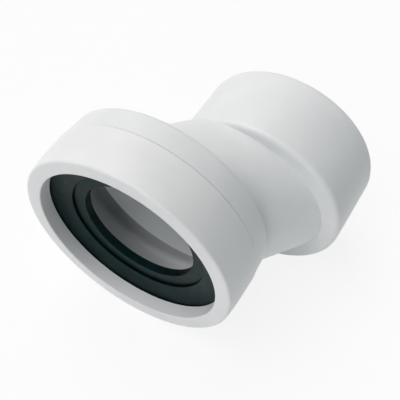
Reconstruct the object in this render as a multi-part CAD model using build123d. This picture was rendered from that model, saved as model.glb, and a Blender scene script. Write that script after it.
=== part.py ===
"""Offset toilet pan connector: moulded body, finned rubber seal and snap-on cap ring.

The socket axis is +Y, from the mouth to the spigot, and the mouth's centre is the origin.
The part lies as it comes to rest, on the cap ring and the spigot, so the offset runs along +X
and dips towards the floor.
"""
import os
from math import asin, cos, degrees, radians, sin

from build123d import *

# Main sizes, in millimetres
mouth_radius = 56.0
spigot_radius = 55.0
offset = 39.4
collar_length = 27.0
socket_tail = 15.6
neck_length = 33.0
spigot_length = 45.7

# Fits between the pieces
fit_gap = 0.25
seam_gap = 0.4

# Cap ring: its lip presses on the seal, and its skirt covers the nose of the socket
collar_lip_depth = 8.6
collar_lip_wall = 2.8
collar_lip_inset = 2.5
collar_web = 3.2
collar_skirt_wall = 1.8
collar_land = 12.0
collar_crown = 0.9
collar_front_round = 1.6
collar_mouth_round = 0.8

# Snap bead in the cap ring's skirt, and the groove for it round the nose
snap_setback = 4.5
snap_height = 0.7
snap_width = 2.4
snap_play = 0.3

# Seal: a sleeve with a thin front fin, and a rear fin that turns back into a short sealing lip
seal_sleeve_wall = 4.6
seal_tail = 4.8
front_fin_radius = 42.6
front_fin_setback = 0.8
front_fin_drop = 2.8
front_fin_root = 2.0
front_fin_tip = 1.0
rear_fin_radius = 35.0
rear_fin_wall = 2.6
rear_lip_length = 5.3
rear_lip_wall = 2.2
fin_root_gap = 1.2
fin_tip_gap = 0.6
fin_edge_round = 0.4
rear_heel_round = 1.0

# Body: walls, the nose under the cap ring, and the tapered rest of the socket
wall = 3.2
nose_wall = 2.4
nose_lead = 1.0
seam_step = 0.3
socket_taper = 1.2
socket_rear_round = 2.5
ledge_width = 1.2
cavity_round = 4.0

# Neck: an oval tube, set in from the socket's outline at one end and from the spigot's at the other
neck_socket_near_step = 1.7
neck_socket_far_step = 16.1
neck_socket_flank_step = 16.0
neck_shoulder_near_step = 10.4
neck_shoulder_far_rise = 7.0
neck_shoulder_flank_step = 8.5
neck_socket_fillet = 2.0
neck_shoulder_fillet = 2.5
neck_fillet_sink = 0.1
neck_fillet_turns = (0, 30, 60, 90)

# Spigot: its shoulder, a slight relief beside the neck where a pipe's socket stops, and the lead-in at its end
shoulder_round = 3.0
spigot_relief = 0.2
spigot_bore_round = 1.5
spigot_end_chamfer = 0.5
spigot_end_chamfer_length = 1.5

# Radii that follow, from the mouth outwards
lip_radius = mouth_radius + collar_lip_wall
seal_radius = lip_radius + collar_lip_inset
sleeve_bore = seal_radius - seal_sleeve_wall
nose_bore = seal_radius + fit_gap
nose_radius = nose_bore + nose_wall
skirt_bore = nose_radius + fit_gap
collar_radius = skirt_bore + collar_skirt_wall
collar_front_radius = collar_radius - collar_crown
socket_front_radius = collar_radius - seam_step
socket_rear_radius = socket_front_radius - socket_taper
socket_bore = nose_bore - ledge_width
shoulder_radius = spigot_radius - spigot_relief
spigot_bore = spigot_radius - wall

# Depths that follow, from the mouth along the socket axis
nose_front = collar_web + fit_gap
snap_depth = collar_length - snap_setback
seam_depth = collar_length + seam_gap
socket_rear_depth = seam_depth + socket_tail
cavity_depth = socket_rear_depth - wall
shoulder_depth = socket_rear_depth + neck_length
spigot_bore_depth = shoulder_depth + wall
overall_length = shoulder_depth + spigot_length

# Seal depths that follow, with the rear fin's front face kept clear of the front fin's tip
seal_front = collar_lip_depth
front_fin_start = seal_front + front_fin_setback
front_fin_depth = seal_front + front_fin_drop
rear_fin_start = front_fin_start + front_fin_root + fin_root_gap
rear_fin_clear = front_fin_depth + front_fin_tip + fin_tip_gap
rear_fin_slope = (rear_fin_clear - rear_fin_start) / (sleeve_bore - front_fin_radius)
rear_fin_depth = rear_fin_start + rear_fin_slope * (sleeve_bore - rear_fin_radius)
rear_lip_end = rear_fin_depth + rear_lip_length
seal_rear = rear_fin_start + rear_fin_wall + seal_tail

# Neck sections that follow, and the depth at which the neck's far side has sunk into the spigot's wall
neck_socket_centre = (neck_socket_far_step - neck_socket_near_step) / 2
neck_socket_half_width = socket_rear_radius - (neck_socket_far_step + neck_socket_near_step) / 2
neck_socket_half_height = socket_rear_radius - neck_socket_flank_step
neck_shoulder_centre = offset - (neck_shoulder_far_rise + neck_shoulder_near_step) / 2
neck_shoulder_half_width = spigot_radius + (neck_shoulder_far_rise - neck_shoulder_near_step) / 2
neck_shoulder_half_height = spigot_radius - neck_shoulder_flank_step
neck_far_shift = neck_shoulder_centre - neck_shoulder_half_width - neck_socket_centre + neck_socket_half_width
neck_run_out = shoulder_depth + neck_shoulder_far_rise * neck_length / neck_far_shift + wall

# Roll about the socket axis at which the cap ring and the spigot both touch the floor
rest_roll = degrees(asin((collar_radius - spigot_radius) / offset))


def outline(*corners):
    """Flat face bounded by straight lines through (radius, depth) corners."""
    return make_face(Polyline(*corners, close=True))


def rounded(face, corner, radius):
    """The same face with the corner nearest to a point rounded off."""
    return fillet(face.vertices().sort_by_distance(corner)[0], radius)


def turned(face):
    """Ring or disc turned from a (radius, depth) face, with its seam on the side away from the offset."""
    return Rot(0, 180, 0) * revolve(face, Axis.Y)


def neck_section(depth, inset):
    """Oval across the neck at one depth, drawn in by an even inset."""
    share = (depth - socket_rear_depth) / neck_length
    centre = neck_socket_centre + share * (neck_shoulder_centre - neck_socket_centre)
    half_width = neck_socket_half_width + share * (neck_shoulder_half_width - neck_socket_half_width)
    half_height = neck_socket_half_height + share * (neck_shoulder_half_height - neck_socket_half_height)
    plane = Plane(origin=(centre, depth, 0), x_dir=(1, 0, 0), z_dir=(0, 1, 0))
    return plane * Ellipse(half_width - inset, half_height - inset)


def neck_rod(start, inset):
    """Leaning oval rod from a starting depth to where it has sunk into the spigot."""
    return loft([neck_section(start, inset), neck_section(neck_run_out, inset)])


def neck_root(inset, axis_offset, flat_depth, flat_radius, growth, radius):
    """Fillet round the neck where it leaves a round flat, growing along +Y (1) or -Y (-1) and kept to the flat.

    It is drawn through ovals at steps of the fillet's quarter turn, sunk a little into the neck and the flat.
    """
    ovals = []
    for turn in neck_fillet_turns:
        height = radius * (1 - sin(radians(turn))) - neck_fillet_sink
        outset = radius * (1 - cos(radians(turn))) - neck_fillet_sink
        ovals.append(neck_section(flat_depth + growth * height, inset - outset))
    base_depth = flat_depth - growth * wall / 2
    top_depth = flat_depth + growth * radius
    limit = outline(
        (0, base_depth),
        (flat_radius, base_depth),
        (flat_radius, flat_depth),
        (flat_radius - radius, top_depth),
        (0, top_depth),
    )
    return loft(ovals) & Pos(axis_offset, 0, 0) * revolve(limit, Axis.Y)


def make_collar():
    """Cap ring: front web, lip that presses the seal, crowned outer skirt with a snap bead inside."""
    crown_start = (collar_radius, collar_length - collar_land)
    crown_end = (collar_front_radius, 0)
    crown = TangentArc(crown_start, crown_end, tangent=(0, -1))
    walls = Polyline(
        crown_end,
        (mouth_radius, 0),
        (mouth_radius, collar_lip_depth),
        (lip_radius, collar_lip_depth),
        (lip_radius, collar_web),
        (skirt_bore, collar_web),
        (skirt_bore, collar_length),
        (collar_radius, collar_length),
        crown_start,
    )
    section = make_face(crown + walls)
    section = rounded(section, crown_end, collar_front_round)
    section = rounded(section, (mouth_radius, 0), collar_mouth_round)
    bead = outline(
        (skirt_bore + snap_height, snap_depth - snap_width),
        (skirt_bore - snap_height, snap_depth),
        (skirt_bore + snap_height, snap_depth + snap_width),
    )
    return turned(section) + turned(bead)


def make_seal():
    """Rubber seal: a sleeve between lip and ledge, a thin front fin, and a rear fin with a lip turned back."""
    heel = (rear_fin_radius + rear_lip_wall, rear_fin_depth + rear_fin_wall)
    section = outline(
        (seal_radius, seal_front),
        (sleeve_bore, seal_front),
        (sleeve_bore, front_fin_start),
        (front_fin_radius, front_fin_depth),
        (front_fin_radius, front_fin_depth + front_fin_tip),
        (sleeve_bore, front_fin_start + front_fin_root),
        (sleeve_bore, rear_fin_start),
        (rear_fin_radius, rear_fin_depth),
        (rear_fin_radius, rear_lip_end),
        (rear_fin_radius + rear_lip_wall, rear_lip_end),
        heel,
        (sleeve_bore, rear_fin_start + rear_fin_wall),
        (sleeve_bore, seal_rear),
        (seal_radius, seal_rear),
    )
    for edge in (
        (front_fin_radius, front_fin_depth),
        (front_fin_radius, front_fin_depth + front_fin_tip),
        (rear_fin_radius, rear_fin_depth),
        (rear_fin_radius, rear_lip_end),
    ):
        section = rounded(section, edge, fin_edge_round)
    return turned(rounded(section, heel, rear_heel_round))


def make_socket():
    """Solid outer form of the socket: grooved nose under the cap ring, then a tapered wall to the rear."""
    section = outline(
        (0, nose_front),
        (nose_radius - nose_lead, nose_front),
        (nose_radius, nose_front + nose_lead),
        (nose_radius, seam_depth),
        (socket_front_radius, seam_depth),
        (socket_rear_radius, socket_rear_depth),
        (0, socket_rear_depth),
    )
    section = rounded(section, (socket_rear_radius, socket_rear_depth), socket_rear_round)
    groove_depth = snap_height + snap_play - fit_gap
    groove = outline(
        (nose_radius + groove_depth, snap_depth - snap_width - snap_play),
        (nose_radius - groove_depth, snap_depth),
        (nose_radius + groove_depth, snap_depth + snap_width + snap_play),
    )
    return turned(section) - turned(groove)


def make_socket_cavity():
    """Space inside the socket, stepped where the seal sits on its ledge."""
    section = outline(
        (0, nose_front),
        (nose_bore, nose_front),
        (nose_bore, seal_rear),
        (socket_bore, seal_rear),
        (socket_bore, cavity_depth),
        (0, cavity_depth),
    )
    return turned(rounded(section, (socket_bore, cavity_depth), cavity_round))


def make_spigot():
    """Solid outer form of the spigot: rounded shoulder, relieved stretch, plain stretch and lead-in chamfer."""
    section = outline(
        (0, shoulder_depth),
        (shoulder_radius, shoulder_depth),
        (spigot_radius, neck_run_out),
        (spigot_radius, overall_length - spigot_end_chamfer_length),
        (spigot_radius - spigot_end_chamfer, overall_length),
        (0, overall_length),
    )
    return Pos(offset, 0, 0) * turned(rounded(section, (shoulder_radius, shoulder_depth), shoulder_round))


def make_spigot_bore():
    """Space inside the spigot, behind its shoulder."""
    section = outline(
        (0, spigot_bore_depth),
        (spigot_bore, spigot_bore_depth),
        (spigot_bore, overall_length),
        (0, overall_length),
    )
    return Pos(offset, 0, 0) * turned(rounded(section, (spigot_bore, spigot_bore_depth), spigot_bore_round))


def make_outside():
    """Solid outer form of the body: socket, leaning neck with filleted ends, and spigot."""
    rod = neck_rod(cavity_depth, 0)
    socket_flat = socket_rear_radius - socket_rear_round
    shoulder_flat = shoulder_radius - shoulder_round
    front_root = neck_root(0, 0, socket_rear_depth, socket_flat, 1, neck_socket_fillet)
    rear_root = neck_root(0, offset, shoulder_depth, shoulder_flat, -1, neck_shoulder_fillet)
    return make_socket() + rod + make_spigot() + front_root + rear_root


def make_inside():
    """Waterway through the body, with the neck's wall kept even."""
    rod = neck_rod(cavity_depth - wall, wall)
    cavity_flat = socket_bore - cavity_round
    bore_flat = spigot_bore - spigot_bore_round
    front_root = neck_root(wall, 0, cavity_depth, cavity_flat, 1, neck_socket_fillet)
    rear_root = neck_root(wall, offset, spigot_bore_depth, bore_flat, -1, neck_shoulder_fillet)
    return make_socket_cavity() + rod + make_spigot_bore() + front_root + rear_root


def save(shape, name):
    """Write one piece, rolled about the socket axis into the pose that it rests in."""
    export_step(Rot(0, rest_roll, 0) * shape, f"parts/{name}.step")


def main():
    os.makedirs("parts", exist_ok=True)
    save(make_outside() - make_inside(), "body")
    save(make_seal(), "seal")
    save(make_collar(), "collar")


main()
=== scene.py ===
"""Looks for the offset toilet pan connector: satin white mouldings and a dark rubber seal on a pale floor."""
import math
from typing import NamedTuple

import bpy
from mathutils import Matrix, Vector


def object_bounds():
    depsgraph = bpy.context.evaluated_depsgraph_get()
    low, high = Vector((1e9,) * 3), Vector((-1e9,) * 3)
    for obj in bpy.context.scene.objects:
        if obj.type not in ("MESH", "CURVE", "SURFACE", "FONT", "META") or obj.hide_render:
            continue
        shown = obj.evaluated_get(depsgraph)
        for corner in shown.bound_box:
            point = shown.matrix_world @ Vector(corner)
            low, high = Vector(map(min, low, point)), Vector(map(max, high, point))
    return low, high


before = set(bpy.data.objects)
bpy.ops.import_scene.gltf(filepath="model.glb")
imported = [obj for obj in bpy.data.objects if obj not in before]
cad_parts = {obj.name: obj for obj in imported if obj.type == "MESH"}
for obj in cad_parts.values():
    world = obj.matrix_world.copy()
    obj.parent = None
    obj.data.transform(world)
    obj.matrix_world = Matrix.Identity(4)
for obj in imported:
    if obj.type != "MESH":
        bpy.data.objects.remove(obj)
cad_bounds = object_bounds()


class Noise(NamedTuple):
    """Procedural noise: its scale over a metre, its octaves and the weight of the finer ones."""
    scale: float
    detail: float
    roughness: float = 0.5


class Finish(NamedTuple):
    """Moulded surface: clouded colour, uneven gloss, fine grain and reflection."""
    colour: tuple
    tones: tuple
    clouds: Noise
    roughness: tuple
    patches: Noise
    grain: Noise
    grain_depth: float
    grain_strength: float
    ior: float = 1.5
    specular: float = 0.5
    specular_tint: tuple = (1.0, 1.0, 1.0)


class Lamp(NamedTuple):
    """Broad soft light: the way it shines, its strength and its colour."""
    aim: Vector
    strength: float
    colour: tuple


# Camera: place and aim in the part's frame, near limit in metres, sensor in millimetres
CAMERA_PLACE = Vector((0.1439, -0.1632, 0.3429))
CAMERA_AIM = Vector((-0.2983, 0.5037, -0.8107))
CAMERA_NEAR = 0.01
CAMERA_SENSOR = 36.0
CAMERA_FOCAL_PIXELS = 748.1
IMAGE_PIXELS = 400

# Lamps: from the upper front, the front and the upper back
LAMPS = {
    "key": Lamp(aim=Vector((0.30, 0.30, -0.91)), strength=1.42, colour=(1.0, 0.975, 1.0)),
    "fill": Lamp(aim=Vector((0.0, 0.95, -0.30)), strength=0.48, colour=(1.0, 0.97, 0.98)),
    "back": Lamp(aim=Vector((0.50, -0.30, -0.81)), strength=1.16, colour=(1.0, 0.93, 0.88)),
}
LAMP_SPREAD = math.radians(45)

# Surround: the even light that it gives, and how white it shows behind the part
SURROUND_COLOUR = (0.78, 0.98, 1.0)
SURROUND_STRENGTH = 0.14
SURROUND_WHITE = 0.965
WHITE = (1.0, 1.0, 1.0)

# Floor: half its width in metres, its paint, and the share of it that shows as plain white
FLOOR_HALF_WIDTH = 6.0
FLOOR_COLOUR = (0.97, 0.97, 0.97)
FLOOR_GLOW = 0.85

# Stretch of a noise over which a tone goes from its darkest to its lightest
TONE_SPAN = (0.3, 0.7)

# Satin white plastic, with its grain depth in metres
BODY_PLASTIC = Finish(
    colour=(0.83, 0.845, 0.85),
    tones=(0.95, 1.03),
    clouds=Noise(scale=30.0, detail=5.0),
    roughness=(0.36, 0.50),
    patches=Noise(scale=60.0, detail=4.0),
    grain=Noise(scale=1600.0, detail=3.0),
    grain_depth=0.00005,
    grain_strength=0.35,
    ior=1.49,
)
COLLAR_PLASTIC = BODY_PLASTIC._replace(colour=(0.84, 0.85, 0.85))

# Dark rubber with a soft green-black sheen
SEAL_RUBBER = Finish(
    colour=(0.0024, 0.008, 0.0085),
    tones=(0.4, 1.7),
    clouds=Noise(scale=60.0, detail=6.0),
    roughness=(0.18, 0.60),
    patches=Noise(scale=110.0, detail=6.0, roughness=0.6),
    grain=Noise(scale=1200.0, detail=3.0),
    grain_depth=0.00006,
    grain_strength=0.4,
    specular=0.135,
    specular_tint=(0.35, 1.0, 1.0),
)


def opaque(colour):
    """A colour with full alpha, as the sockets take it."""
    return (*colour, 1.0)


def empty_tree(owner):
    """Node tree of a new material or world, with nothing in it."""
    owner.use_nodes = True
    owner.node_tree.nodes.clear()
    return owner.node_tree


def add_object(name, data):
    """New object in the scene."""
    thing = bpy.data.objects.new(name, data)
    bpy.context.scene.collection.objects.link(thing)
    return thing


def turn_along(thing, aim):
    """Turn a lamp or the camera to look along an aim."""
    thing.rotation_mode = "QUATERNION"
    thing.rotation_quaternion = aim.to_track_quat("-Z", "Y")


def noise_factor(tree, noise):
    """Noise over the object's own coordinates, which are metres in the part's frame."""
    place = tree.nodes.new("ShaderNodeTexCoord")
    texture = tree.nodes.new("ShaderNodeTexNoise")
    texture.inputs["Scale"].default_value = noise.scale
    texture.inputs["Detail"].default_value = noise.detail
    texture.inputs["Roughness"].default_value = noise.roughness
    tree.links.new(place.outputs["Object"], texture.inputs["Vector"])
    return texture.outputs["Fac"]


def clouded_colour(tree, finish):
    """Colour that drifts between the finish's darkest and lightest tone."""
    ramp = tree.nodes.new("ShaderNodeValToRGB")
    for element, position, tone in zip(ramp.color_ramp.elements, TONE_SPAN, finish.tones):
        element.position = position
        element.color = opaque(channel * tone for channel in finish.colour)
    tree.links.new(noise_factor(tree, finish.clouds), ramp.inputs["Fac"])
    return ramp.outputs["Color"]


def uneven_gloss(tree, finish):
    """Roughness that drifts between the finish's two limits."""
    lowest, highest = finish.roughness
    spread = tree.nodes.new("ShaderNodeMapRange")
    spread.inputs["To Min"].default_value = lowest
    spread.inputs["To Max"].default_value = highest
    tree.links.new(noise_factor(tree, finish.patches), spread.inputs["Value"])
    return spread.outputs["Result"]


def fine_grain(tree, finish):
    """Normal with the finish's grain on it."""
    bump = tree.nodes.new("ShaderNodeBump")
    bump.inputs["Distance"].default_value = finish.grain_depth
    bump.inputs["Strength"].default_value = finish.grain_strength
    tree.links.new(noise_factor(tree, finish.grain), bump.inputs["Height"])
    return bump.outputs["Normal"]


def moulded(name, finish):
    """Material of a moulded piece."""
    material = bpy.data.materials.new(name)
    tree = empty_tree(material)
    output = tree.nodes.new("ShaderNodeOutputMaterial")
    shader = tree.nodes.new("ShaderNodeBsdfPrincipled")
    shader.inputs["IOR"].default_value = finish.ior
    shader.inputs["Specular IOR Level"].default_value = finish.specular
    shader.inputs["Specular Tint"].default_value = opaque(finish.specular_tint)
    tree.links.new(clouded_colour(tree, finish), shader.inputs["Base Color"])
    tree.links.new(uneven_gloss(tree, finish), shader.inputs["Roughness"])
    tree.links.new(fine_grain(tree, finish), shader.inputs["Normal"])
    tree.links.new(shader.outputs["BSDF"], output.inputs["Surface"])
    return material


def dress(node, material):
    """Give a carried-over node its finish."""
    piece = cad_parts[node]
    piece.data.materials.clear()
    piece.data.materials.append(material)


def larger(tree, first, second):
    """The larger of two factors."""
    node = tree.nodes.new("ShaderNodeMath")
    node.operation = "MAXIMUM"
    tree.links.new(first, node.inputs[0])
    tree.links.new(second, node.inputs[1])
    return node.outputs["Value"]


def white_rays(tree):
    """Factor of 1 for what the camera, a gloss or a glass sees, and 0 for light that falls on the part."""
    rays = tree.nodes.new("ShaderNodeLightPath").outputs
    bounced = larger(tree, rays["Is Glossy Ray"], rays["Is Transmission Ray"])
    return larger(tree, rays["Is Camera Ray"], bounced)


def join_mixed(tree, factor, first, second, output):
    """Lead a mix of two shaders to the output."""
    mix = tree.nodes.new("ShaderNodeMixShader")
    tree.links.new(factor, mix.inputs["Fac"])
    tree.links.new(first, mix.inputs[1])
    tree.links.new(second, mix.inputs[2])
    tree.links.new(mix.outputs["Shader"], output.inputs["Surface"])


def floor_paint():
    """Pale paint, mostly plain white to the camera, so that the part's shadow on it stays soft."""
    material = bpy.data.materials.new("floor_paint")
    tree = empty_tree(material)
    output = tree.nodes.new("ShaderNodeOutputMaterial")
    paint = tree.nodes.new("ShaderNodeBsdfDiffuse")
    paint.inputs["Color"].default_value = opaque(FLOOR_COLOUR)
    glow = tree.nodes.new("ShaderNodeEmission")
    glow.inputs["Color"].default_value = opaque(WHITE)
    share = tree.nodes.new("ShaderNodeMath")
    share.operation = "MULTIPLY"
    share.inputs[1].default_value = FLOOR_GLOW
    tree.links.new(white_rays(tree), share.inputs[0])
    join_mixed(tree, share.outputs["Value"], paint.outputs["BSDF"], glow.outputs["Emission"], output)
    return material


def make_floor():
    """Wide flat floor at the part's lowest point."""
    height = cad_bounds[0].z
    corners = [
        (side * FLOOR_HALF_WIDTH, end * FLOOR_HALF_WIDTH, height)
        for side, end in ((-1, -1), (1, -1), (1, 1), (-1, 1))
    ]
    mesh = bpy.data.meshes.new("floor")
    mesh.from_pydata(corners, [], [(0, 1, 2, 3)])
    mesh.materials.append(floor_paint())
    floor = add_object("floor", mesh)


def make_surround():
    """Even pale light from all round, white to the camera and in reflections."""
    world = bpy.data.worlds.new("surround")
    bpy.context.scene.world = world
    tree = empty_tree(world)
    output = tree.nodes.new("ShaderNodeOutputWorld")
    lit = tree.nodes.new("ShaderNodeBackground")
    lit.inputs["Color"].default_value = opaque(SURROUND_COLOUR)
    lit.inputs["Strength"].default_value = SURROUND_STRENGTH
    white = tree.nodes.new("ShaderNodeBackground")
    white.inputs["Color"].default_value = opaque(WHITE)
    white.inputs["Strength"].default_value = SURROUND_WHITE
    join_mixed(tree, white_rays(tree), lit.outputs["Background"], white.outputs["Background"], output)


def make_lamp(name, lamp):
    """Sun lamp with a wide spread."""
    data = bpy.data.lights.new(name, "SUN")
    data.energy = lamp.strength
    data.color = lamp.colour
    data.angle = LAMP_SPREAD
    turn_along(add_object(name, data), lamp.aim)


def make_camera():
    """Camera at the photograph's angle, looking down on the mouth and the offset side."""
    data = bpy.data.cameras.new("camera")
    data.sensor_width = CAMERA_SENSOR
    data.lens = CAMERA_SENSOR * CAMERA_FOCAL_PIXELS / IMAGE_PIXELS
    data.clip_start = CAMERA_NEAR
    camera = add_object("camera", data)
    camera.location = CAMERA_PLACE
    turn_along(camera, CAMERA_AIM)
    bpy.context.scene.camera = camera


dress("body", moulded("body_plastic", BODY_PLASTIC))
dress("collar", moulded("collar_plastic", COLLAR_PLASTIC))
dress("seal", moulded("seal_rubber", SEAL_RUBBER))
make_floor()
make_surround()
for lamp_name, lamp_values in LAMPS.items():
    make_lamp(lamp_name, lamp_values)
make_camera()
bpy.context.scene.view_settings.view_transform = "Standard"
